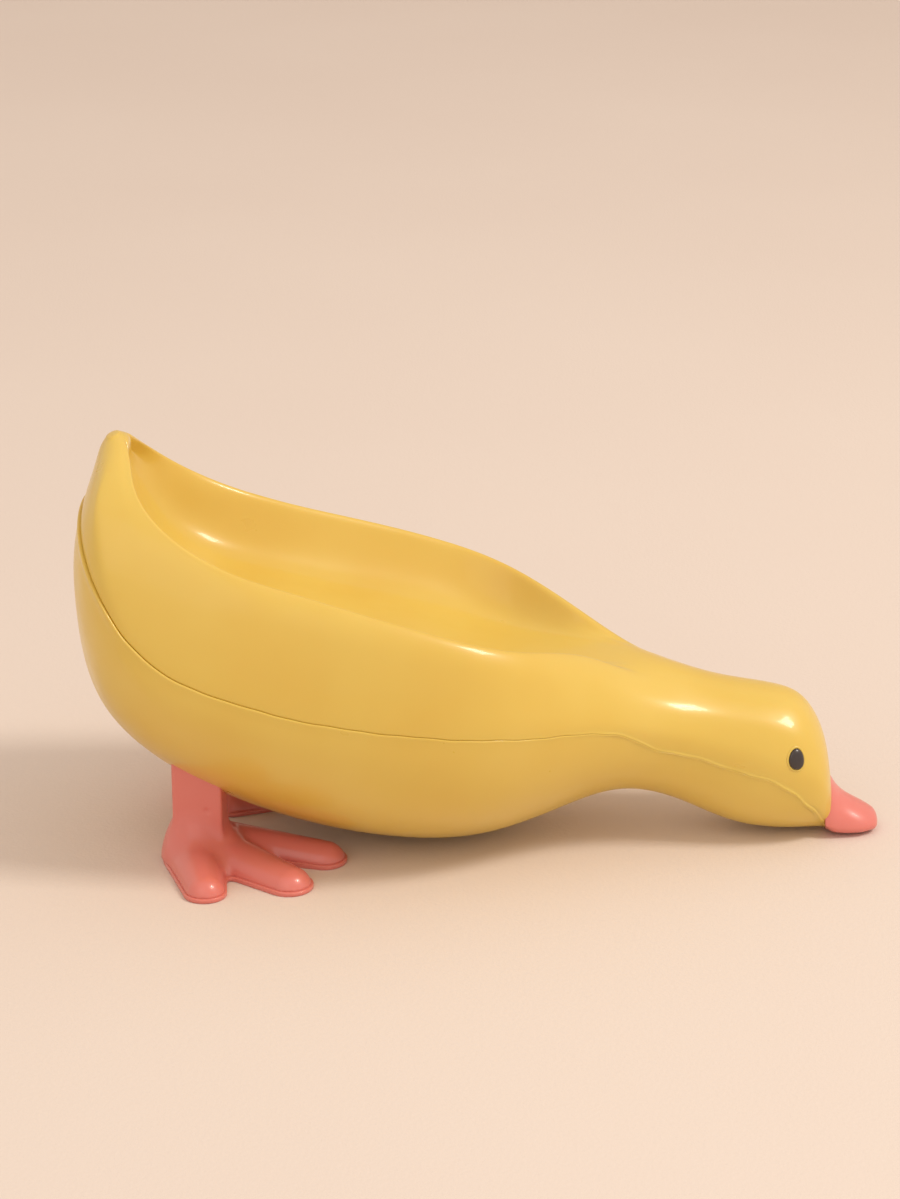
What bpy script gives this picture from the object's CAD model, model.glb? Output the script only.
# %% [markdown]
# # A duck-shaped soap dish
#
# The dish is a glossy moulded duck that bows its head to the table. Two yellow shells meet at a seam that
# runs from the tail, round the flanks, to the cheek. The back is scooped out to hold the soap. Two coral
# feet, a coral beak and two dark eyes are separate mouldings. Every shape below is worked out with numpy
# on a grid of two parameters, in millimetres, and is turned into metres when its mesh is made.

import bpy
import numpy as np
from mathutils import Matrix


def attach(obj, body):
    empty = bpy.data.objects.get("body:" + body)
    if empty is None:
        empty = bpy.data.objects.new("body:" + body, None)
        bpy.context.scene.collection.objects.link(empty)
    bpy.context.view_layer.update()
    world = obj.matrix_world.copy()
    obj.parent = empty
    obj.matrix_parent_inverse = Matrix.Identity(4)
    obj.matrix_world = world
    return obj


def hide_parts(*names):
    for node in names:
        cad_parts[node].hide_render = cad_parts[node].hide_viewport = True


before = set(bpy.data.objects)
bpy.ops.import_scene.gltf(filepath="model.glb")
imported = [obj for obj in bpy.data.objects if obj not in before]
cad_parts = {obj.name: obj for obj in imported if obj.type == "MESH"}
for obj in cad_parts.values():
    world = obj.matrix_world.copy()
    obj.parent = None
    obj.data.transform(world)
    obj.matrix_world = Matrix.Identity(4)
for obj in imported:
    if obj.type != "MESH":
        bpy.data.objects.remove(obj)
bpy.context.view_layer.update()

# %% [markdown]
# ## The camera
#
# It comes first, because everything is judged through it. The duck is seen from its right side, from a
# little above, with a long lens that hardly bends the perspective. The camera looks straight at a point
# just behind the middle of the body.

# %% Camera
camera_data = bpy.data.cameras.new("camera")
camera_data.sensor_fit = "VERTICAL"
camera_data.sensor_height = 36.0
camera_data.sensor_width = 27.0
camera_data.lens = 91.28
camera = bpy.data.objects.new("camera", camera_data)
view_drop = np.radians(20.0)
view_distance = 0.760
look_at = np.array([-0.0082, 0.0, 0.062])
camera.location = look_at + view_distance * np.array([0.0, -np.cos(view_drop), np.sin(view_drop)])
camera.rotation_euler = (np.pi / 2 - view_drop, 0.0, 0.0)
bpy.context.scene.collection.objects.link(camera)
bpy.context.scene.camera = camera
print("the camera stands at", [round(v, 3) for v in camera.location])

# %% [markdown]
# ## From arrays to meshes
#
# One helper turns arrays into a mesh object. It takes the vertices in millimetres and the faces as rows
# of vertex numbers, drops vertices that no face uses, and writes both at once.

# %% A mesh from arrays
millimetre = 0.001


def make_piece(name, points, faces):
    """A smooth mesh object: its vertices are points (n, 3) in millimetres, its faces rows of 3 or 4."""
    faces = [np.asarray(f, int) for f in faces if len(f)]
    used = np.unique(np.concatenate([f.ravel() for f in faces]))
    renumber = np.full(len(points), -1)
    renumber[used] = np.arange(len(used))
    rows = [row for f in faces for row in renumber[f].tolist()]
    mesh = bpy.data.meshes.new(name)
    mesh.from_pydata((points[used] * millimetre).tolist(), [], rows)
    mesh.validate()
    mesh.polygons.foreach_set("use_smooth", [True] * len(mesh.polygons))
    mesh.update()
    piece = bpy.data.objects.new(name, mesh)
    bpy.context.scene.collection.objects.link(piece)
    return piece


def grid_faces(numbers):
    """Quads between the neighbours of a 2-D array of vertex numbers, without the ones that have no area."""
    corners = [numbers[:-1, :-1], numbers[:-1, 1:], numbers[1:, 1:], numbers[1:, :-1]]
    quads = np.stack(corners, -1).reshape(-1, 4)
    across = quads != np.roll(quads, -1, axis=1)
    whole = quads[across.all(1)]
    split = quads[across.sum(1) == 3]
    keep = across[across.sum(1) == 3]
    triangles = split[keep].reshape(-1, 3)
    return [whole, triangles]


def unit(vectors):
    """The same directions at length one."""
    return vectors / np.maximum(np.linalg.norm(vectors, axis=-1, keepdims=True), 1e-12)


# %% [markdown]
# ## Smooth curves from a few numbers
#
# A moulding like this has no flat or round parts, only curves that flow through a few chosen places. A
# cubic spline gives exactly that. The value anywhere on a spline is a weighted sum of the chosen values,
# so all that is needed is a matrix of weights, which then works for points, widths and heights alike.

# %% Spline weights
def spline_weights(knots, at, period=None):
    """Matrix that turns values at the knots into values of the cubic spline at the places 'at'.

    Between two knots the spline is a*y0 + b*y1 + ((a^3-a)*m0 + (b^3-b)*m1)*h^2/6, where a and b are the
    shares of the way to the two knots, h is the gap and m is the bending at each knot. The bendings
    solve one linear system: the slope is the same on both sides of each knot, and at a free end the
    bending is zero. With a period the last knot is followed by the first.
    """
    knots = np.asarray(knots, float)
    count = len(knots)
    bend_side = np.zeros((count, count))
    value_side = np.zeros((count, count))
    index = np.arange(count) if period else np.arange(1, count - 1)
    before, after = (index - 1) % count, (index + 1) % count
    gap_before = knots[index] - knots[before]
    gap_after = knots[after] - knots[index]
    if period:
        gap_before = gap_before % period
        gap_after = gap_after % period
    else:
        bend_side[0, 0] = bend_side[-1, -1] = 1.0
    bend_side[index, before] = gap_before / 6
    bend_side[index, index] = (gap_before + gap_after) / 3
    bend_side[index, after] = gap_after / 6
    value_side[index, before] = 1 / gap_before
    value_side[index, index] = -1 / gap_before - 1 / gap_after
    value_side[index, after] = 1 / gap_after
    bending = np.linalg.solve(bend_side, value_side)
    at = np.asarray(at, float)
    shape, at = at.shape, at.ravel()
    if period:
        at = knots[0] + (at - knots[0]) % period
        low = np.clip(np.searchsorted(knots, at, side="right") - 1, 0, count - 1)
    else:
        low = np.clip(np.searchsorted(knots, at, side="right") - 1, 0, count - 2)
    high = (low + 1) % count
    gap = knots[high] - knots[low]
    gap = gap % period if period else gap
    b = (at - knots[low]) / gap
    a = 1 - b
    weights = ((a**3 - a) * gap**2 / 6)[:, None] * bending[low]
    weights += ((b**3 - b) * gap**2 / 6)[:, None] * bending[high]
    rows = np.arange(len(at))
    weights[rows, low] += a
    weights[rows, high] += b
    return weights.reshape(shape + (count,))


# %% [markdown]
# ## The form of the duck
#
# Both shells share one outside form, so it is described once. Eighteen closed rings fan from the upright
# tail, round the back, to the lowered head. Each ring has a keel below, flanks at the sides, and on top
# either the rolled rim and the scooped dish or, on the neck and head, a plain arch.

# %% The rings
RING_COLUMNS = dict(x=0, z=1, lean=2, half_width=3, depth=4, keel_power=5, rim_half=6, rim_up=7,
                    floor_half=8, floor_up=9, dish=10, arch_up=11)
BODY_RINGS = np.array([
    (-90.9, 105.3, 72, 2.4, 1.5, 2.00, 1.1, 1.5, 0.6, 1.4, 0.0, 1.5),
    (-90.6, 103.9, 72, 5.6, 3.1, 2.00, 2.6, 3.1, 1.6, 2.9, 0.0, 3.1),
    (-90.8, 101.1, 72, 11.2, 4.2, 2.00, 6.5, 4.9, 3.4, 4.0, 0.6, 4.6),
    (-92.1, 95.8, 74, 19.0, 4.6, 2.00, 15.2, 7.6, 8.6, 4.3, 1.0, 7.5),
    (-91.2, 86.4, 70, 27.5, 9.4, 2.00, 24.5, 12.9, 14.0, 5.2, 1.0, 12.9),
    (-86.9, 71.5, 60, 34.5, 16.5, 1.90, 30.2, 22.9, 18.5, 7.9, 1.0, 22.9),
    (-78.5, 57.0, 45, 39.5, 25.3, 1.80, 32.3, 30.7, 20.0, 13.8, 1.0, 30.7),
    (-61.5, 48.0, 28, 42.0, 32.9, 1.75, 33.1, 31.3, 20.5, 16.1, 1.0, 31.3),
    (-39.5, 42.5, 14, 43.5, 37.0, 1.85, 34.8, 30.0, 21.5, 15.6, 1.0, 30.0),
    (-15.5, 40.0, 8, 43.5, 38.5, 2.00, 35.9, 26.1, 22.0, 12.7, 1.0, 26.1),
    (6.5, 39.5, 8, 38.5, 37.5, 2.00, 29.8, 19.9, 18.5, 8.2, 1.0, 19.9),
    (22.5, 37.0, 10, 29.5, 30.2, 2.00, 16.5, 16.7, 10.2, 10.1, 0.8, 16.7),
    (38.5, 33.0, 14, 20.5, 21.5, 2.00, 10.0, 12.5, 6.4, 13.8, 0.0, 13.8),
    (56.5, 27.0, 16, 16.2, 19.4, 2.00, 8.0, 13.0, 5.0, 14.4, 0.0, 14.4),
    (71.5, 22.0, 14, 16.5, 20.2, 2.10, 8.2, 15.0, 5.0, 16.6, 0.0, 16.6),
    (81.2, 18.5, 8, 14.6, 17.5, 2.10, 7.2, 13.2, 4.4, 14.7, 0.0, 14.7),
    (86.0, 14.5, 5, 11.6, 13.4, 2.10, 5.6, 9.4, 3.5, 10.6, 0.0, 10.6),
    (88.4, 9.0, 2, 7.6, 8.3, 2.10, 3.8, 5.4, 2.3, 6.1, 0.0, 6.1),
])
RING_KNOTS = np.array([0, 1.0, 2.0, 2.9, 3.6, 4.3, 4.9, 5.35, 5.65, 6.0, 6.6, 7.2, 7.9, 8.6])
HALF_TURN = RING_KNOTS[-1]
TURN = 2 * HALF_TURN
rim_roll = 2.2
slim_roll = 0.45  # where the dish is narrow, the roll is this share of its half width
flank_power = 1.7
print(len(BODY_RINGS), "rings from the tail to the face")


# %% Points round a ring
def ring_points(rings):
    """Key points (ring, 26, 3) round each ring.

    The keel half is w*sin(t)^(2/p), -d*cos(t)^(2/p). Above it, the flank closes in to the rim's crest as
    r + (w-r)*(1-k^1.7)^(1/1.7) at the share k of the crest's height, drops down the dish's wall and runs
    out flat; or it is the arch w*cos(t), h*sin(t). 'dish' blends the two. The ring lies in a plane that
    leans towards the beak.
    """
    r = {name: rings[:, column, None] for name, column in RING_COLUMNS.items()}
    keel_turn = np.radians([0, 25, 50, 72, 90])
    power = 2 / r["keel_power"]
    keel = np.stack([r["half_width"] * np.sin(keel_turn) ** power,
                     -r["depth"] * np.abs(np.cos(keel_turn)).clip(1e-9) ** power], -1)
    w, up = r["half_width"], r["rim_up"]
    roll = np.minimum(rim_roll, slim_roll * r["rim_half"])
    inn, side = r["rim_half"] - roll, up - roll
    fh, fu = r["floor_half"], r["floor_up"]
    flank_up = np.array([0.42, 0.73, 0.92])
    flank = r["rim_half"] + (w - r["rim_half"]) * (1 - flank_up**flank_power) ** (1 / flank_power)
    dish = np.stack([
        np.hstack([flank, r["rim_half"], inn,
                   fh + 0.62 * (inn - fh), fh + 0.10 * (inn - fh), 0.55 * fh, 0 * fh]),
        np.hstack([flank_up * up, up, up - roll,
                   fu + 0.42 * (side - fu), fu + 0.07 * (side - fu), fu, fu]),
    ], -1)
    arch_turn = np.radians([18, 36, 48, 57, 64, 71, 78, 84, 90])
    arch = np.stack([w * np.cos(arch_turn).clip(0), r["arch_up"] * np.sin(arch_turn)], -1)
    top = arch + (dish - arch) * r["dish"][..., None]
    half = np.concatenate([keel, top], 1)
    other = half[:, -2:0:-1] * [-1, 1]
    loop = np.concatenate([half, other], 1)
    lean = np.radians(r["lean"])
    sideways, upwards = loop[..., 0], loop[..., 1]
    return np.stack([r["x"] + np.sin(lean) * upwards, sideways, r["z"] + np.cos(lean) * upwards], -1)


KEY_POINTS = ring_points(BODY_RINGS)
LOOP_KNOTS = np.concatenate([RING_KNOTS, TURN - RING_KNOTS[-2:0:-1]])
RING_PLACES = np.concatenate([[0], np.cumsum(np.linalg.norm(np.diff(BODY_RINGS[:, :2], axis=0), axis=1))])
BODY_RUN = RING_PLACES[-1]
print("the body is", round(BODY_RUN, 1), "mm long along its middle line")


# %% Any point of the outside
def body_points(s, u):
    """Outside of the duck: s (rows) is the distance along the body, u (rows, columns) the place round it.

    It is a spline through the rings of splines round the rings, so it is smooth both ways.
    """
    rows = np.einsum("ik,kjc->ijc", spline_weights(RING_PLACES, s), KEY_POINTS)
    return np.einsum("imj,ijc->imc", spline_weights(LOOP_KNOTS, u, TURN), rows)


def body_normals(s, u):
    """Outward direction at the same places: the cross product of the two directions on the surface."""
    step = 1e-3
    around = body_points(s, u + step) - body_points(s, u - step)
    forward = body_points(s + step, u) - body_points(s - step, u)
    return unit(np.cross(around, forward))


check = body_normals(np.array([BODY_RUN / 2]), np.array([[0.0, 4.0, 8.6]]))[0]
print("normals at the keel, flank and back point to", np.round(check, 1).tolist())

# %% [markdown]
# ## The seam
#
# The two shells meet along one line. Seen from the side it drops steeply down the tail, swings round the
# flank, runs nearly level past the middle and falls along the neck to the chin. The real line isn't drawn
# by a ruler: the shells were joined warm, and on the neck and cheek the line wavers and stands up as a
# thin flash. So the line is found on the form first, and the small irregularities are added to it.

# %% The seam seen from the side
SEAM_LINE = np.array([
    (-118, 93), (-108, 93), (-102, 91.4), (-98.6, 87), (-96, 81), (-93.2, 75.6), (-90.2, 71), (-86.5, 65.8),
    (-81.8, 61.5), (-76.6, 57.5), (-69.2, 54), (-60, 50.9), (-51, 48.3), (-25, 43.8), (3.5, 40.3),
    (23.5, 37.4), (34, 34.6), (42.3, 29.3), (50.5, 26.6), (60, 23.4), (72, 19.3), (79.9, 14.2), (84.9, 7.1),
    (96, -10),
])
seam_run = np.concatenate([[0], np.cumsum(np.linalg.norm(np.diff(SEAM_LINE, axis=0), axis=1))])
seam_side = spline_weights(seam_run, np.linspace(0, seam_run[-1], 400)) @ SEAM_LINE


def above_seam(points):
    """How far points lie above the seam line in the side view, in mm, less than zero below it.

    It is the distance to the nearest stretch of the line, with the sign of the cross product.
    """
    start, stretch = seam_side[:-1], np.diff(seam_side, axis=0)
    to_point = points[..., None, [0, 2]] - start
    share = ((to_point * stretch).sum(-1) / (stretch**2).sum(-1)).clip(0, 1)
    rest = to_point - share[..., None] * stretch
    distance = np.linalg.norm(rest, axis=-1)
    nearest = distance.argmin(-1)[..., None]
    side = stretch[:, 0] * rest[..., 1] - stretch[:, 1] * rest[..., 0]
    sign = np.sign(np.take_along_axis(side, nearest, -1))[..., 0]
    return sign * np.take_along_axis(distance, nearest, -1)[..., 0]


def crossing(values, places):
    """Place in each row where values change sign, read off between the two nearest places."""
    low = (np.diff(np.sign(values), axis=1) != 0).argmax(1)
    rows = np.arange(len(values))
    v0, v1 = values[rows, low], values[rows, low + 1]
    return places[low] + (places[low + 1] - places[low]) * v0 / (v0 - v1)


down_the_back = np.linspace(7.0, 20.0, 200)
keel_line = body_points(down_the_back, np.zeros((len(down_the_back), 1)))[:, 0]
seam_top = float(crossing(above_seam(keel_line)[None], down_the_back)[0])
print("the seam crosses the back of the tail", round(seam_top, 2), "mm along the body")

# %% [markdown]
# Rows of vertices are needed close together where the seam crosses the back of the tail, because it runs
# along them there. The rule sqrt(q^2 + d^2) - q does that: it starts like a parabola and ends like a line.

# %% Rows along the body
def eased(length, count, q):
    """Count places from 0 to length whose first steps are small: sqrt(q^2 + d^2) - q for even steps of d."""
    return np.sqrt(q**2 + np.linspace(0, np.sqrt((length + q) ** 2 - q**2), count) ** 2) - q


tail_start = 0.25
tail_row_count, seam_row_count = 34, 310
tail_ease, seam_ease = 2.0, 12.0
tail_rows = seam_top - eased(seam_top - tail_start, tail_row_count, tail_ease)[::-1][:-1]
seam_rows = seam_top + eased(BODY_RUN - seam_top, seam_row_count, seam_ease)
u_places = np.linspace(0, 5.2, 260)
side_points = body_points(seam_rows, np.broadcast_to(u_places, (len(seam_rows), len(u_places))))
blocks = np.array_split(side_points, 12)
seam_u = np.concatenate([crossing(above_seam(block), u_places) for block in blocks])
seam_u[0] = 0.0
# the rows' steps make seam_u change evenly, so a short average only removes the reading's noise
short_average = np.array([1, 4, 6, 4, 1]) / 16
for _ in range(6):
    run = np.concatenate([-seam_u[2:0:-1], seam_u])
    seam_u[:-2] = np.convolve(run, short_average, "same")[2:-2]
row_count = len(tail_rows) + len(seam_rows)
print("rows", row_count, "- the seam's place on the flank", seam_u[[40, 150, 250]].round(2))

# %% The seam as a line in space
one_side = body_points(seam_rows, seam_u[:, None])[:, 0]
one_normal = body_normals(seam_rows, seam_u[:, None])[:, 0]
mirror_y = np.array([1.0, -1.0, 1.0])
seam_points = np.concatenate([(one_side * mirror_y)[:0:-1], one_side])
seam_normals = np.concatenate([(one_normal * mirror_y)[:0:-1], one_normal])
seam_tangents = unit(np.gradient(seam_points, axis=0))
seam_up = unit(np.cross(seam_tangents, seam_normals))
seam_up *= np.sign(seam_up[len(seam_up) // 4, 2])
side_of_duck = np.concatenate([-np.ones(len(one_side) - 1), np.ones(len(one_side))])
steps = np.linalg.norm(np.diff(seam_points, axis=0), axis=1)
seam_place = np.concatenate([[0], np.cumsum(steps)])
seam_place -= seam_place[len(one_side) - 1]
print("the seam is", round(float(np.ptp(seam_place)), 1), "mm long round both sides")


def near_seam(points):
    """Distance of each point to the seam, and the number of the seam point nearest to it.

    The part of the step along the seam is taken off, as far as half way to the next seam point.
    """
    flat = points.reshape(-1, 3)
    nearest = np.concatenate([
        ((block[:, None] - seam_points) ** 2).sum(-1).argmin(1) for block in np.array_split(flat, 60)
    ])
    offset = flat - seam_points[nearest]
    half_step = 0.55 * np.gradient(seam_place)[nearest]  # a little over half, so that no gap is left
    along = (offset * seam_tangents[nearest]).sum(1).clip(-half_step, half_step)
    distance = np.linalg.norm(offset - along[:, None] * seam_tangents[nearest], axis=1)
    return distance.reshape(points.shape[:-1]), nearest.reshape(points.shape[:-1])


# %% [markdown]
# How the joint looks changes along its length. At the tail the lower shell's rounded edge stands proud of
# the upper one, along the flank the joint is a fine groove, and on the neck and cheek a light ridge of
# flash stands on a joint that is closed. A few numbers along the seam say so, and splines join them.

# %% What the joint is like along the seam
JOINT = np.array([
    # mm from the tail   gap   lower edge proud   flash height   waver   edge rounding
    (0, 0.06, 0.55, 0.00, 0.00, 0.42),
    (35, 0.05, 0.50, 0.00, 0.03, 0.38),
    (60, 0.03, 0.32, 0.02, 0.05, 0.28),
    (95, 0.02, 0.20, 0.05, 0.06, 0.21),
    (130, 0.02, 0.16, 0.08, 0.08, 0.18),
    (165, 0.01, 0.10, 0.18, 0.10, 0.14),
    (190, 0.01, 0.05, 0.34, 0.14, 0.08),
    (215, 0.01, 0.03, 0.30, 0.14, 0.07),
    (232, 0.01, 0.03, 0.38, 0.24, 0.05),
    (260, 0.01, 0.03, 0.38, 0.24, 0.05),
])


def along_joint(column):
    """One column of the joint's table at every seam point."""
    reach = np.abs(seam_place).clip(0, JOINT[-1, 0])
    return spline_weights(JOINT[:, 0], reach) @ JOINT[:, column]


joint_gap, joint_proud = along_joint(1).clip(0.005), along_joint(2)
joint_round = along_joint(5).clip(0.05)
# the seam wavers differently on the two sides of the duck, because their phases differ
phase = seam_place + 7.0 * side_of_duck
joint_waver = along_joint(4).clip(0) * (np.sin(phase / 3.1) + 0.7 * np.sin(phase / 1.35 + 1.0))
joint_flash = along_joint(3).clip(0) * (0.75 + 0.35 * np.sin(phase / 2.3) * np.sin(phase / 5.1))
# how far from the seam each of these reaches, in mm, and the share by which the upper edge is sunk
gap_reach, proud_reach, flash_reach, waver_reach = 1.2, 1.6, 0.36, 2.5
upper_sunk = 0.35


def hump(distance, reach):
    """A smooth hump over the seam, exp(-(distance/reach)^2)."""
    return np.exp(-((distance / reach) ** 2))


def joined_edge(points, normals, towards_upper):
    """Points of one shell moved to make its edge: towards_upper is +1 for the upper shell.

    Every move fades with the distance from the seam. The edge draws back by half the gap; the lower
    shell stands proud and the upper one is sunk by a share of that; the flash rises and the line wavers
    on both; and the edge is rounded by a quarter circle.
    """
    distance, nearest = near_seam(points)
    across = towards_upper * 0.5 * joint_gap[nearest] * np.exp(-distance / gap_reach)
    across += joint_waver[nearest] * hump(distance, waver_reach)
    share = 1.0 if towards_upper < 0 else -upper_sunk
    lift = share * joint_proud[nearest] * hump(distance, proud_reach)
    lift += joint_flash[nearest] * hump(distance, flash_reach)
    inside = (joint_round[nearest] - distance).clip(0)
    lift -= joint_round[nearest] - np.sqrt((joint_round[nearest] ** 2 - inside**2).clip(0))
    return points + normals * lift[..., None] + seam_up[nearest] * across[..., None], nearest


# %% [markdown]
# ## The two shells
#
# Each shell is a grid: rows run along the body, and columns run from the seam round to the seam on the
# other side. Two more columns turn the edge inwards, as the wall of the real moulding does. Above the
# place where the seam crosses the tail, the upper shell goes all the way round, so its first and last
# columns are the same vertices there. A Solidify modifier gives the skin its thickness inwards.

# %% Columns and edges
edge_depths = np.array([2.2, 0.9])
edge_back = 0.12
skin_thickness = 0.8


def with_inner_edges(points, normals, nearest, towards_upper):
    """Adds two columns at each end of every row that go straight in from the edge."""
    def inwards(column):
        sunk = points[:, column, None] - normals[:, column, None] * edge_depths[:, None]
        back = seam_up[nearest[:, column]] * (edge_back * towards_upper)
        return sunk + back[:, None]
    return np.concatenate([inwards(0), points, inwards(-1)[:, ::-1]], axis=1)


def add_wall(piece, thickness):
    """Gives a skin its thickness inwards."""
    wall = piece.modifiers.new("wall", "SOLIDIFY")
    wall.thickness = thickness * millimetre
    wall.offset = -1.0
    wall.use_rim = True
    return piece


# %% The lower shell
lower_half = eased(1.0, 80, 0.03)
lower_share = np.concatenate([-(1 - lower_half), (1 - lower_half)[::-1][1:]])
lower_u = seam_u[:, None] * lower_share
lower_points = body_points(seam_rows, lower_u)
lower_normals = body_normals(seam_rows, lower_u)
lower_points, lower_nearest = joined_edge(lower_points, lower_normals, -1.0)
lower_grid = with_inner_edges(lower_points, lower_normals, lower_nearest, -1.0)
face_centre = np.array([BODY_RINGS[-1, 0], 0.0, BODY_RINGS[-1, 1]])


def turned_in(grid, rows=(0.12, 0.3)):
    """Adds rows after the last one that draw in towards the middle of the face."""
    more = [grid[-1:] + (face_centre - grid[-1:]) * share for share in rows]
    return np.concatenate([grid] + more, axis=0)


lower_grid = turned_in(lower_grid)
numbers = np.arange(lower_grid.shape[0] * lower_grid.shape[1]).reshape(lower_grid.shape[:2])
middle = lower_grid.shape[1] // 2
numbers[0, 2:-2] = numbers[0, middle]
numbers[0, :2] = numbers[0, -2:][::-1]
lower_shell = make_piece("duck_lower_shell", lower_grid.reshape(-1, 3), grid_faces(numbers))
add_wall(lower_shell, skin_thickness)
print("lower shell", len(lower_shell.data.polygons), "faces")

# %% The upper shell
upper_rows = np.concatenate([tail_rows, seam_rows])
upper_start = np.concatenate([np.zeros(len(tail_rows)), seam_u])
upper_half = eased(1.0, 128, 0.02)
upper_share = np.concatenate([upper_half, 2 - upper_half[::-1][1:]])
upper_u = upper_start[:, None] + (HALF_TURN - upper_start[:, None]) * upper_share
upper_points = body_points(upper_rows, upper_u)
upper_normals = body_normals(upper_rows, upper_u)
upper_points, upper_nearest = joined_edge(upper_points, upper_normals, 1.0)
upper_grid = with_inner_edges(upper_points, upper_normals, upper_nearest, 1.0)
upper_grid = turned_in(upper_grid)

# %% The tip of the tail
tip_height = 0.40
tip_ring = upper_grid[0]
tip_middle = tip_ring[2:-2].mean(0)
tip_direction = unit(tip_middle - body_points(np.array([2.5]), upper_u[:1])[0].mean(0))
tip_turn = np.radians(np.linspace(90, 0, 9))[:-1, None, None]
tip_rows = tip_middle + (tip_ring - tip_middle) * np.cos(tip_turn)
tip_rows = tip_rows + tip_direction * tip_height * np.sin(tip_turn)
upper_grid = np.concatenate([tip_rows, upper_grid], axis=0)
numbers = np.arange(upper_grid.shape[0] * upper_grid.shape[1]).reshape(upper_grid.shape[:2])
closed_rows = len(tip_rows) + len(tail_rows)
numbers[: closed_rows + 1, -3] = numbers[: closed_rows + 1, 2]
numbers[: closed_rows, :2] = numbers[: closed_rows, 2:3]
numbers[: closed_rows, -2:] = numbers[: closed_rows, 2:3]
numbers[closed_rows, -2:] = numbers[closed_rows, :2][::-1]
numbers[0, :] = numbers[0, 2]
upper_faces = grid_faces(numbers)
upper_shell = make_piece("duck_upper_shell", upper_grid.reshape(-1, 3), upper_faces)
add_wall(upper_shell, skin_thickness)
top_height = float(upper_grid[..., 2].max())
print("upper shell", len(upper_shell.data.polygons), "faces, top at", round(top_height, 2), "mm")

# %% [markdown]
# ## The beak
#
# The beak is one solid moulding: a thin sharp root at the top where it meets the face, a hollow curve and
# then a bulge along its top, a soft ridge low on each side, a flat underside on the table and a rounded
# tip. It is a surface of two parameters: t runs from root to tip and each cross-section is two half
# ovals that meet at the ridge. Splines give width, top, ridge and underside for every t.

# %% Beak
BEAK = np.array([
    # t     x      half   top   ridge  underside
    (0.00, 86.6, 8.4, 16.9, 3.6, 0.50),
    (0.10, 88.4, 8.5, 15.0, 3.4, 0.15),
    (0.24, 90.4, 8.3, 11.9, 3.0, 0.10),
    (0.40, 93.2, 7.9, 9.2, 2.7, 0.10),
    (0.58, 96.6, 7.2, 7.2, 2.5, 0.15),
    (0.74, 99.3, 5.7, 5.6, 2.4, 0.40),
    (0.88, 100.9, 3.6, 4.1, 2.3, 0.90),
    (1.00, 101.45, 0.0, 2.2, 2.2, 2.20),
])
beak_t = np.linspace(0, 1, 90)
beak_curves = spline_weights(BEAK[:, 0], beak_t) @ BEAK[:, 1:]
beak_x, beak_half, beak_top, beak_ridge, beak_under = beak_curves.T[..., None]
beak_turn = np.linspace(0, 2 * np.pi, 121)
rise = np.sin(beak_turn)


def near_root(reach):
    """One at the beak's root, falling evenly to zero at t = reach."""
    return np.clip(1 - beak_t / reach, 0, 1)[:, None]


# above the ridge z = ridge + (top - ridge) * sin^1.25, below it z = ridge - (ridge - underside) * |sin|^p,
# and p is greater at the root, so the underside is rounder there and stays inside the chin
under_power = 0.7 + 0.5 * near_root(0.35)
beak_z = np.where(rise >= 0, beak_ridge + (beak_top - beak_ridge) * np.abs(rise) ** 1.25,
                  beak_ridge - (beak_ridge - beak_under) * np.abs(rise) ** under_power)
tuck = 0.06 + 0.30 * near_root(0.2)
beak_y = beak_half * np.cos(beak_turn) * (1 - tuck * np.clip(-rise, 0, 1))
# the root leans forward below, so that it meets the chin upright
root_lean = 1.1 * near_root(0.12) * np.clip(1 - beak_z / 9, 0, 1)
beak_grid = np.stack([beak_x + root_lean, beak_y, beak_z], -1)
numbers = np.arange(beak_grid.shape[0] * beak_grid.shape[1]).reshape(beak_grid.shape[:2])
numbers[:, -1] = numbers[:, 0]
numbers[-1] = numbers[-1, 0]
root_cap = np.concatenate([beak_grid.reshape(-1, 3), beak_grid[0, :-1].mean(0)[None]])
cap_middle = np.full(len(beak_turn) - 1, len(root_cap) - 1)
cap_fan = np.stack([cap_middle, numbers[0, :-1], numbers[0, 1:]], -1)
beak = make_piece("duck_beak", root_cap, grid_faces(numbers) + [cap_fan[:, ::-1]])
print("beak", len(beak.data.polygons), "faces")

# %% [markdown]
# ## The eyes
#
# Each eye is a dark oval stud pressed into the cheek, and the yellow round it is raised into a thin lip.
# Both follow the cheek's own curve: a point of the oval is a small step from the eye's centre on the
# body's surface, and the stud or the lip is then lifted off it along the surface's outward direction.

# %% Places on the cheek
eye_at = np.array([78.1, -14.8, 24.8])
look_s = np.linspace(BODY_RUN - 30, BODY_RUN - 4, 160)
look_u = np.broadcast_to(np.linspace(TURN - 8.0, TURN - 3.5, 200), (160, 200))
gap_to_eye = np.linalg.norm(body_points(look_s, look_u) - eye_at, axis=-1)
row, column = np.unravel_index(gap_to_eye.argmin(), gap_to_eye.shape)
eye_s, eye_u = look_s[row], look_u[0, column]
step = 0.01
here = body_points(np.array([eye_s]), np.array([[eye_u]]))[0, 0]
per_s = (body_points(np.array([eye_s + step]), np.array([[eye_u]]))[0, 0] - here) / step
per_u = (body_points(np.array([eye_s]), np.array([[eye_u + step]]))[0, 0] - here) / step
eye_normal = unit(np.cross(per_u, per_s))
eye_up = unit(np.array([0, 0, 1.0]) - eye_normal * eye_normal[2])
eye_along = np.cross(eye_up, eye_normal)
to_su = np.linalg.pinv(np.stack([per_s, per_u], 1))
print("the eye sits at", here.round(1), "facing", eye_normal.round(2))


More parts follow.
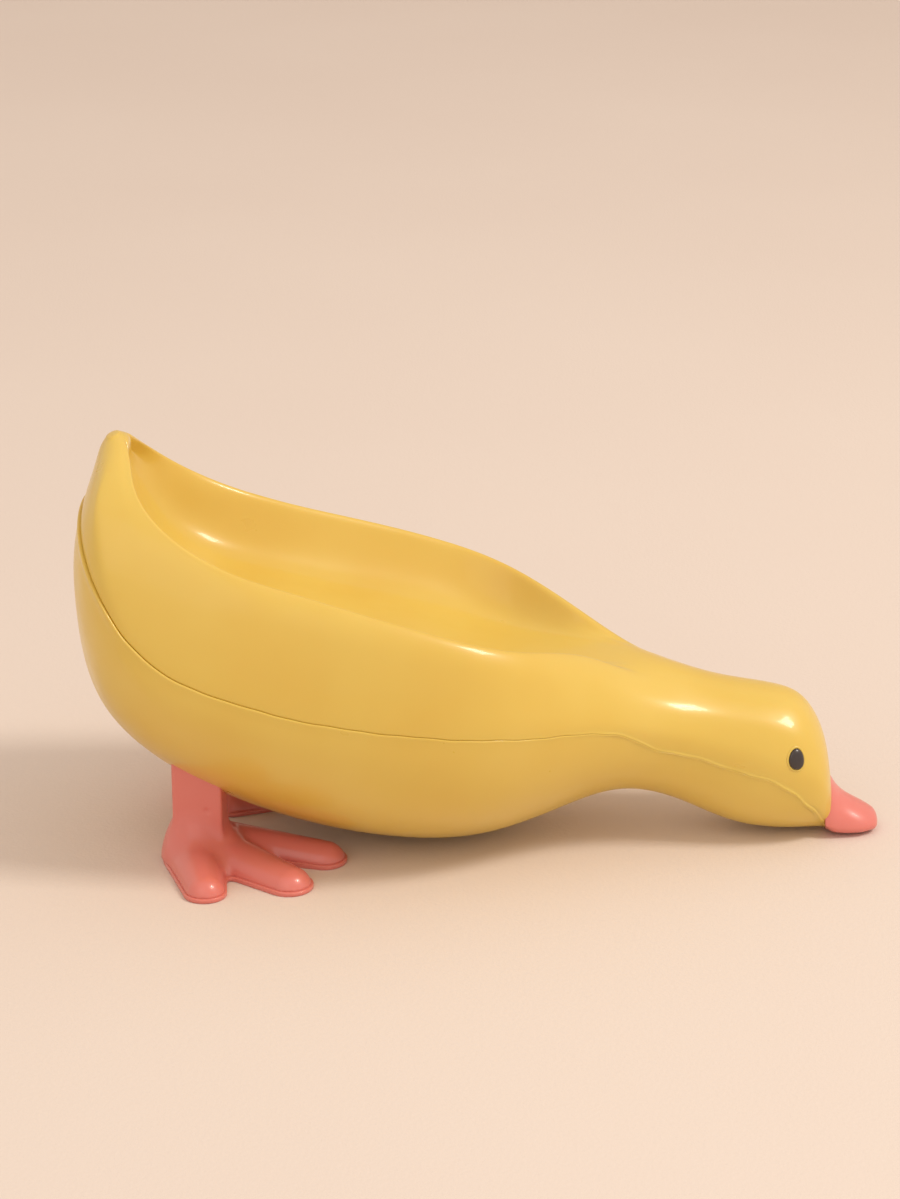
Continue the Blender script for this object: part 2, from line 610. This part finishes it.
def on_cheek(forward, upward):
    """Points of the cheek a few millimetres forward and upward of the eye, with their outward directions."""
    moves = forward[..., None] * eye_along + upward[..., None] * eye_up
    s_moves, u_moves = np.moveaxis(moves @ to_su.T, -1, 0)
    s, u = (eye_s + s_moves).ravel(), (eye_u + u_moves).ravel()[:, None]
    shape = forward.shape + (3,)
    return body_points(s, u).reshape(shape), body_normals(s, u).reshape(shape)


# %% Eyes and their lips
eye_half_long, eye_half_high = 2.05, 2.65
stud_height, stud_lift, stud_depth = 0.75, 0.02, 0.6
around = np.linspace(0, 2 * np.pi, 65)
share = np.sin(np.linspace(0, np.pi / 2, 18))[:, None]
eye_base, eye_out = on_cheek(eye_half_long * share * np.cos(around), eye_half_high * share * np.sin(around))
# the stud's height over the cheek is height * (1 - r^3)^0.5, and its edge goes into the cheek
eye_dome = eye_base + eye_out * (stud_height * np.sqrt((1 - share**3).clip(0)) + stud_lift)[..., None]
eye_skirt = eye_base[-1:] - eye_out[-1:] * stud_depth
eye_grid = np.concatenate([eye_dome, eye_skirt])
tube = np.linspace(0, 2 * np.pi, 17)[:, None]
lip_reach, lip_size, lip_height, lip_sunk = 1.12, 0.30, 0.22, 0.03
lip_base, lip_out = on_cheek((eye_half_long * lip_reach + lip_size * np.cos(tube)) * np.cos(around),
                             (eye_half_high * lip_reach + lip_size * np.cos(tube)) * np.sin(around))
lip_grid = lip_base + lip_out * (lip_height * np.sin(tube) - lip_sunk)[..., None]


def both_sides(name, grid, closed_ways, pole=False):
    """Two pieces, one for each side of the duck, from a grid of the right side's points."""
    ids = np.arange(grid.shape[0] * grid.shape[1]).reshape(grid.shape[:2])
    ids[:, -1] = ids[:, 0]
    if closed_ways == 2:
        ids[-1] = ids[0]
    if pole:
        ids[0] = ids[0, 0]
    faces = grid_faces(ids)
    flat = grid.reshape(-1, 3)
    right = make_piece(name + "_right", flat, faces)
    left = make_piece(name + "_left", flat * mirror_y, [f[:, ::-1] for f in faces])
    return right, left


eyes = both_sides("duck_eye", eye_grid[:, ::-1], 1, pole=True)
eye_lips = both_sides("duck_eye_lip", lip_grid[:, ::-1], 2)
print("eyes", [len(e.data.polygons) for e in eyes])

# %% [markdown]
# ## The legs and feet
#
# A leg and its foot are one soft-looking moulding: a flat strap, a swollen ankle, and three plump toes
# that run into each other. A grid of two parameters has no natural way across such a branching shape. So
# the foot is made another way: a rule says, for any point of space, how far it is outside the foot. Each
# part has a simple rule, and a smooth minimum melts the parts together like warm wax.

# %% The foot's rule
leg_x, leg_side = -71.4, 19.8
leg_turn = np.radians(12.0)
strap_forward = 0.9
strap_half, strap_round = np.array([6.4, 3.1, 14.8]), 0.8
strap_middle_height = 18.0
ankle_middle, ankle_half = np.array([0.5, -1.6, 0.0]), np.array([9.3, 8.2, 15.2])
ankle_scale = 8.6
gate_forward, gate_height, gate_size, gate_depth = 2.9, 14.6, 0.65, 0.45
first_melt, second_melt, ankle_melt, strap_melt = 3.0, 2.2, 4.0, 1.4
sole_top = 0.9
TOES = np.array([
    # root forward, outward, radius, tip forward, outward, radius, height at the root, at the tip
    (-0.6, 2.2, 7.3, 3.4, 20.9, 5.0, 7.4, 5.2),
    (2.9, -2.3, 8.0, 23.8, 16.5, 5.5, 7.2, 5.2),
    (6.4, -7.8, 6.3, 31.7, 1.2, 5.4, 6.4, 5.0),
])


tiny = 1e-9


def melt(a, b, reach):
    """Smooth minimum: the lesser of a and b, less reach/4 * (1 - |a-b|/reach)^2 where they are close."""
    blend = (1 - np.abs(a - b) / reach).clip(0)
    return np.minimum(a, b) - blend**2 * reach / 4


def toe_rule(x, y, z, toe):
    """A toe is half a flattened tapering sausage: sqrt((d/w)^2 + (z/h)^2) = 1, d from the toe's axis."""
    root, tip = toe[0:2], toe[3:5]
    axis = tip - root
    along = (((x - root[0]) * axis[0] + (y - root[1]) * axis[1]) / (axis @ axis)).clip(0, 1)
    aside = np.hypot(x - root[0] - along * axis[0], y - root[1] - along * axis[1])
    width = toe[2] + (toe[5] - toe[2]) * along
    height = toe[6] + (toe[7] - toe[6]) * along
    return (np.sqrt((aside / width) ** 2 + (z / height) ** 2 + tiny) - 1) * np.minimum(width, height)


def joined_toes(x, y, z):
    """The three toes melted into each other."""
    toes = [toe_rule(x, y, z, toe) for toe in TOES]
    return melt(melt(toes[0], toes[1], first_melt), toes[2], second_melt)


def strap_rule(x, y, z):
    """The strap is a box with rounded edges, turned outwards a little."""
    a = (x - strap_forward) * np.cos(leg_turn) + y * np.sin(leg_turn)
    b = -(x - strap_forward) * np.sin(leg_turn) + y * np.cos(leg_turn)
    size = np.abs(np.stack([a, b, z - strap_middle_height], -1))
    over = size - (strap_half - strap_round)
    return np.linalg.norm(over.clip(0), axis=-1) + np.minimum(over.max(-1), 0) - strap_round


def foot_rule(points):
    """How far points lie outside the leg and foot, less than zero inside; x forward, y outward, z up."""
    x, y, z = points[..., 0], points[..., 1], points[..., 2]
    ankle_share = (((points - ankle_middle) / ankle_half) ** 2).sum(-1)
    ankle = (np.sqrt(ankle_share + tiny) - 1) * ankle_scale
    rule = melt(joined_toes(x, y, z), ankle, ankle_melt)
    rule = melt(rule, strap_rule(x, y, z), strap_melt)
    gate = np.exp(-((x - gate_forward) ** 2 + (z - gate_height) ** 2) / gate_size**2) * (y > 0)
    return np.maximum(rule + gate_depth * gate, sole_top - z)


# %% [markdown]
# The surface is where the rule is zero. Space is cut into small cubes; each cube that the surface passes
# gets one vertex at the mean of its crossings, and each crossed edge gets the face between the four cubes
# round it. Then the vertices are evened out among their neighbours and moved along the rule's slope until
# the rule is zero, by turns, which takes the stair steps out. It is all done on whole arrays.

# %% Vertices and faces from a rule
def surface_of(rule, low, high, size):
    """Vertices and quads of the surface where rule is zero, inside the box from low to high."""
    axes = [np.arange(a, b + size, size) for a, b in zip(low, high)]
    space = np.stack(np.meshgrid(*axes, indexing="ij"), -1)
    values = rule(space)
    inside = values < 0
    cells = tuple(n - 1 for n in values.shape)
    total, crossings = np.zeros(cells + (3,)), np.zeros(cells)
    crossed = []
    for axis in range(3):
        first = [slice(None)] * 3
        second = [slice(None)] * 3
        first[axis], second[axis] = slice(None, -1), slice(1, None)
        v0, v1 = values[tuple(first)], values[tuple(second)]
        changes = inside[tuple(first)] != inside[tuple(second)]
        share = np.where(changes, v0 / np.where(changes, v0 - v1, 1), 0)
        place = space[tuple(first)].copy()
        place[..., axis] += share * size
        crossed.append((changes, inside[tuple(first)]))
        sides = [k for k in range(3) if k != axis]
        for i in (0, 1):
            for j in (0, 1):
                part = [slice(None)] * 3
                part[sides[0]] = slice(i, i + cells[sides[0]])
                part[sides[1]] = slice(j, j + cells[sides[1]])
                hit = changes[tuple(part)]
                total += np.where(hit[..., None], place[tuple(part)], 0)
                crossings += hit
    active = crossings > 0
    ids = np.full(cells, -1)
    ids[active] = np.arange(active.sum())
    points = total[active] / crossings[active][:, None]
    quads = []
    for axis, (changes, starts_inside) in enumerate(crossed):
        b, c = (axis + 1) % 3, (axis + 2) % 3
        at = np.argwhere(changes)
        at = at[(at[:, b] > 0) & (at[:, c] > 0) & (at[:, b] < cells[b]) & (at[:, c] < cells[c])]
        corner = []
        for back_b, back_c in ((1, 1), (0, 1), (0, 0), (1, 0)):
            cell = at.copy()
            cell[:, b] -= back_b
            cell[:, c] -= back_c
            corner.append(ids[tuple(cell.T)])
        quad = np.stack(corner, -1)
        outwards = starts_inside[tuple(at.T)]
        quads.append(np.where(outwards[:, None], quad, quad[:, ::-1]))
    return points, np.concatenate(quads)


def slope_of(rule, points, step=0.02):
    """The rule's slope in x, y and z, from small steps both ways."""
    moves = np.eye(3) * step
    return np.stack([(rule(points + m) - rule(points - m)) / (2 * step) for m in moves], -1)


def relaxed(points, quads):
    """Every vertex moved to the mean of its neighbours, which spaces the vertices evenly."""
    total, count = np.zeros_like(points), np.zeros(len(points))
    for turn in range(4):
        start, end = quads[:, turn], quads[:, (turn + 1) % 4]
        np.add.at(total, start, points[end])
        np.add.at(count, start, 1)
    return total / count.clip(1)[:, None]


def settled(rule, points, times):
    """Points moved along the rule's slope onto its surface, a few times over."""
    for _ in range(times):
        slope = slope_of(rule, points)
        points = points - rule(points)[:, None] * slope / (slope**2).sum(-1, keepdims=True).clip(0.2)
    return points


# %% Both legs
foot_points, foot_faces = surface_of(foot_rule, (-12.0, -16.5, 0.0), (39.0, 28.5, 33.5), 0.5)
foot_points = settled(foot_rule, foot_points, 3)
relaxing = 0.6
for _ in range(8):
    evened = (1 - relaxing) * foot_points + relaxing * relaxed(foot_points, foot_faces)
    foot_points = settled(foot_rule, evened, 2)
left_foot = foot_points + [leg_x, leg_side, 0]
legs = (
    make_piece("duck_leg_right", left_foot * mirror_y, [foot_faces[:, ::-1]]),
    make_piece("duck_leg_left", left_foot, [foot_faces]),
)
print("legs", [len(leg.data.polygons) for leg in legs], "faces")

# %% [markdown]
# Each foot is closed from below by a thin flat sole that stands out round the toes as a fine line. Its
# outline is found on rays from the middle of the foot, because every toe can be seen whole from there.

# %% Soles
sole_middle = np.array([2.4, -4.2])
ray_turn = np.linspace(0, 2 * np.pi, 361)
ray_reach = np.linspace(0, 46, 461)
ray_x = sole_middle[0] + ray_reach * np.cos(ray_turn[:, None])
ray_y = sole_middle[1] + ray_reach * np.sin(ray_turn[:, None])
# the same toes and a round heel, on the ground where they are widest, and grown by the sole's margin
sole_margin, heel_melt = 0.38, 2.0
heel_forward, heel_outward, heel_radius = 0.5, -2.2, 8.6
flat_heel = np.hypot(ray_x - heel_forward, ray_y - heel_outward) - heel_radius
outline = melt(joined_toes(ray_x, ray_y, np.zeros_like(ray_x)), flat_heel, heel_melt) - sole_margin
last_inside = len(ray_reach) - 1 - (outline[:, ::-1] < 0).argmax(1)
rays = np.arange(len(ray_turn))
first_outside = np.minimum(last_inside + 1, len(ray_reach) - 1)
v0, v1 = outline[rays, last_inside], outline[rays, first_outside]
ray_step = ray_reach[1] - ray_reach[0]
sole_reach = ray_reach[last_inside] + ray_step * (v0 / (v0 - v1)).clip(0, 1)
# from the middle of the underside, out round the edge and back to the middle of the top
sole_rise = np.array([0.0, 0.0, 0.02, 0.18, 0.95, 1.12, 1.18, 1.18])[:, None]
sole_draw = np.array([99.0, 1.2, 0.22, 0.0, 0.0, 0.12, 0.5, 99.0])[:, None]
sole_radius = (sole_reach - sole_draw).clip(0)
sole_grid = np.stack([leg_x + sole_middle[0] + sole_radius * np.cos(ray_turn),
                      leg_side + sole_middle[1] + sole_radius * np.sin(ray_turn),
                      np.broadcast_to(sole_rise, sole_radius.shape)], -1)
numbers = np.arange(sole_grid.shape[0] * sole_grid.shape[1]).reshape(sole_grid.shape[:2])
numbers[:, -1] = numbers[:, 0]
numbers[0], numbers[-1] = numbers[0, 0], numbers[-1, 0]
sole_faces = grid_faces(numbers)
soles = (
    make_piece("duck_sole_right", sole_grid.reshape(-1, 3) * mirror_y, sole_faces),
    make_piece("duck_sole_left", sole_grid.reshape(-1, 3), [f[:, ::-1] for f in sole_faces]),
)
print("soles reach", sole_reach.min().round(1), "to", sole_reach.max().round(1), "mm from their middle")

# %% [markdown]
# ## Finishes
#
# All the pieces are glossy moulded plastic, so they share one recipe and differ in colour. Real mouldings
# are never one flat colour: the pigment drifts a little, thin places look warmer, dust and handling dull
# the gloss in soft patches, and the surface has a faint long wave from shrinking in the mould as well as
# a very fine grain. The patterns read Object coordinates, so they stay fixed to each piece.

# %% Moulded plastic
def moulded_plastic(name, base, deep, pale, roughness, wave, grain, scatter=0.12, coat=0.35):
    """Glossy plastic: base colour drifting towards a deep and a pale one, uneven gloss, wave and grain.

    The wave and the grain are heights in millimetres; scatter and coat are the shader's own weights.
    """
    material = bpy.data.materials.new(name)
    material.use_nodes = True
    nodes, links = material.node_tree.nodes, material.node_tree.links
    shader = nodes["Principled BSDF"]
    place = nodes.new("ShaderNodeTexCoord")

    def noise(scale, detail=2.0, rough=0.5):
        node = nodes.new("ShaderNodeTexNoise")
        node.inputs["Scale"].default_value = scale
        node.inputs["Detail"].default_value = detail
        node.inputs["Roughness"].default_value = rough
        links.new(place.outputs["Object"], node.inputs["Vector"])
        return node.outputs["Fac"]

    drift = nodes.new("ShaderNodeValToRGB")
    drift.color_ramp.elements[0].position = 0.30
    drift.color_ramp.elements[0].color = (*deep, 1)
    drift.color_ramp.elements[1].position = 0.70
    drift.color_ramp.elements[1].color = (*pale, 1)
    middle_stop = drift.color_ramp.elements.new(0.5)
    middle_stop.color = (*base, 1)
    links.new(noise(22.0, 3.0), drift.inputs["Fac"])
    links.new(drift.outputs["Color"], shader.inputs["Base Color"])

    gloss = nodes.new("ShaderNodeMapRange")
    gloss.inputs["From Min"].default_value = 0.3
    gloss.inputs["From Max"].default_value = 0.7
    gloss.inputs["To Min"].default_value = roughness * 0.8
    gloss.inputs["To Max"].default_value = roughness * 1.35
    links.new(noise(55.0, 4.0, 0.6), gloss.inputs["Value"])
    links.new(gloss.outputs["Result"], shader.inputs["Roughness"])

    long_wave = nodes.new("ShaderNodeBump")
    long_wave.inputs["Strength"].default_value = 1.0
    long_wave.inputs["Distance"].default_value = wave * millimetre
    links.new(noise(38.0, 1.0), long_wave.inputs["Height"])
    fine_grain = nodes.new("ShaderNodeBump")
    fine_grain.inputs["Strength"].default_value = 0.6
    fine_grain.inputs["Distance"].default_value = grain * millimetre
    links.new(noise(1400.0, 2.0), fine_grain.inputs["Height"])
    links.new(long_wave.outputs["Normal"], fine_grain.inputs["Normal"])
    links.new(fine_grain.outputs["Normal"], shader.inputs["Normal"])

    shader.inputs["IOR"].default_value = 1.5
    shader.inputs["Coat Weight"].default_value = coat
    shader.inputs["Coat Roughness"].default_value = 0.10
    shader.inputs["Subsurface Weight"].default_value = scatter
    shader.inputs["Subsurface Radius"].default_value = (1.0, 0.6, 0.25)
    shader.inputs["Subsurface Scale"].default_value = 0.002
    return material


yellow = moulded_plastic("yellow_moulding", (0.73, 0.50, 0.086), (0.71, 0.465, 0.072), (0.75, 0.525, 0.104),
                         roughness=0.34, wave=0.10, grain=0.004)
coral = moulded_plastic("coral_moulding", (0.72, 0.20, 0.165), (0.69, 0.18, 0.145), (0.75, 0.225, 0.19),
                        roughness=0.36, wave=0.08, grain=0.004)
eye_brown = moulded_plastic("eye_brown", (0.032, 0.022, 0.020), (0.026, 0.018, 0.017), (0.042, 0.030, 0.027),
                            roughness=0.34, wave=0.02, grain=0.004, scatter=0.0, coat=0.3)


def finish_piece(piece, material, slot, *nodes):
    """Gives a piece its material, its material slot, its body and the model's nodes that it stands for."""
    piece.data.materials.clear()
    piece.data.materials.append(material)
    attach(piece, "root")
    if nodes:
        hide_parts(*nodes)


finish_piece(upper_shell, yellow, "body_plastic", "upper_shell")
finish_piece(lower_shell, yellow, "body_plastic", "lower_shell")
finish_piece(beak, coral, "pink_plastic", "beak")
for side, eye, lip, leg, sole in zip(("right", "left"), eyes, eye_lips, legs, soles):
    finish_piece(eye, eye_brown, "eye_plastic", "eye_" + side)
    finish_piece(lip, yellow, "body_plastic")
    finish_piece(leg, coral, "pink_plastic", "leg_" + side)
    finish_piece(sole, coral, "pink_plastic", "sole_" + side)

# %% [markdown]
# ## Floor and light
#
# The duck stands on a sheet of peach paper that runs up behind it in one wide curve, so there is no edge
# to see. A small soft box stands to the right, high up and a little in front, which puts small highlights
# on the head, the shoulder and the rims and throws a soft shadow to the left. A large weak panel near the
# camera opens the shadows, and the surroundings are warm.

# %% Floor
def paper(name, colour, edge_colour):
    """Matt paper whose colour drifts slowly over the sheet, with a fine tooth."""
    material = bpy.data.materials.new(name)
    material.use_nodes = True
    nodes, links = material.node_tree.nodes, material.node_tree.links
    shader = nodes["Principled BSDF"]
    place = nodes.new("ShaderNodeTexCoord")
    cloud = nodes.new("ShaderNodeTexNoise")
    cloud.inputs["Scale"].default_value = 3.0
    links.new(place.outputs["Object"], cloud.inputs["Vector"])
    ramp = nodes.new("ShaderNodeValToRGB")
    ramp.color_ramp.elements[0].color = (*edge_colour, 1)
    ramp.color_ramp.elements[0].position = 0.3
    ramp.color_ramp.elements[1].color = (*colour, 1)
    ramp.color_ramp.elements[1].position = 0.7
    links.new(cloud.outputs["Fac"], ramp.inputs["Fac"])
    links.new(ramp.outputs["Color"], shader.inputs["Base Color"])
    tooth = nodes.new("ShaderNodeTexNoise")
    tooth.inputs["Scale"].default_value = 900.0
    tooth.inputs["Detail"].default_value = 4.0
    links.new(place.outputs["Object"], tooth.inputs["Vector"])
    bump = nodes.new("ShaderNodeBump")
    bump.inputs["Distance"].default_value = 0.0002
    bump.inputs["Strength"].default_value = 0.5
    links.new(tooth.outputs["Fac"], bump.inputs["Height"])
    links.new(bump.outputs["Normal"], shader.inputs["Normal"])
    shader.inputs["Roughness"].default_value = 0.75
    shader.inputs["Specular IOR Level"].default_value = 0.25
    return material


sweep_start, sweep_radius = 2400.0, 900.0
sweep_turn = np.radians(np.linspace(0, 90, 40))
sweep_reach, sweep_height = 2500.0, 3000.0
curve_y = sweep_start + sweep_radius * np.sin(sweep_turn)
curve_z = sweep_radius * (1 - np.cos(sweep_turn))
sweep_y = np.concatenate([[-sweep_reach, 0.0], curve_y, [sweep_start + sweep_radius]])
sweep_z = np.concatenate([[0.0, 0.0], curve_z, [sweep_height]])
sweep_x = np.linspace(-sweep_reach, sweep_reach, 21)
sweep = np.stack(np.broadcast_arrays(sweep_x, sweep_y[:, None], sweep_z[:, None]), -1)
numbers = np.arange(sweep.shape[0] * sweep.shape[1]).reshape(sweep.shape[:2])
floor = make_piece("paper_sweep", sweep.reshape(-1, 3), [f[:, ::-1] for f in grid_faces(numbers)])
floor.data.materials.append(paper("peach_paper", (0.77, 0.675, 0.605), (0.75, 0.65, 0.58)))
print("paper", len(floor.data.polygons), "faces")


# %% Lights
lit_height = 0.04


def soft_box(name, azimuth, elevation, distance, width, height, watts, colour):
    """A rectangular light that faces the duck. Azimuth goes from the beak's direction towards its left."""
    data = bpy.data.lights.new(name, "AREA")
    data.shape = "RECTANGLE"
    data.size, data.size_y = width, height
    data.energy = watts
    data.color = colour
    light = bpy.data.objects.new(name, data)
    turn, rise = np.radians(azimuth), np.radians(elevation)
    towards = np.array([np.cos(rise) * np.cos(turn), np.cos(rise) * np.sin(turn), np.sin(rise)])
    light.location = np.array([0, 0, lit_height]) + towards * distance
    light.rotation_euler = (np.pi / 2 - rise, 0.0, turn + np.pi / 2)
    bpy.context.scene.collection.objects.link(light)
    return light


# the standard view keeps the plastic's colours as strong as they are
bpy.context.scene.view_settings.view_transform = "Standard"
soft_box("key", -18.0, 50.0, 1.9, 0.46, 0.46, 16.5, (1.0, 0.93, 0.84))
soft_box("front_panel", -115.0, 42.0, 2.2, 1.6, 1.4, 4.0, (1.0, 0.95, 0.90))
world = bpy.data.worlds.new("surroundings")
world.use_nodes = True
world.node_tree.nodes["Background"].inputs["Color"].default_value = (1.0, 0.88, 0.78, 1)
world.node_tree.nodes["Background"].inputs["Strength"].default_value = 0.83
bpy.context.scene.world = world
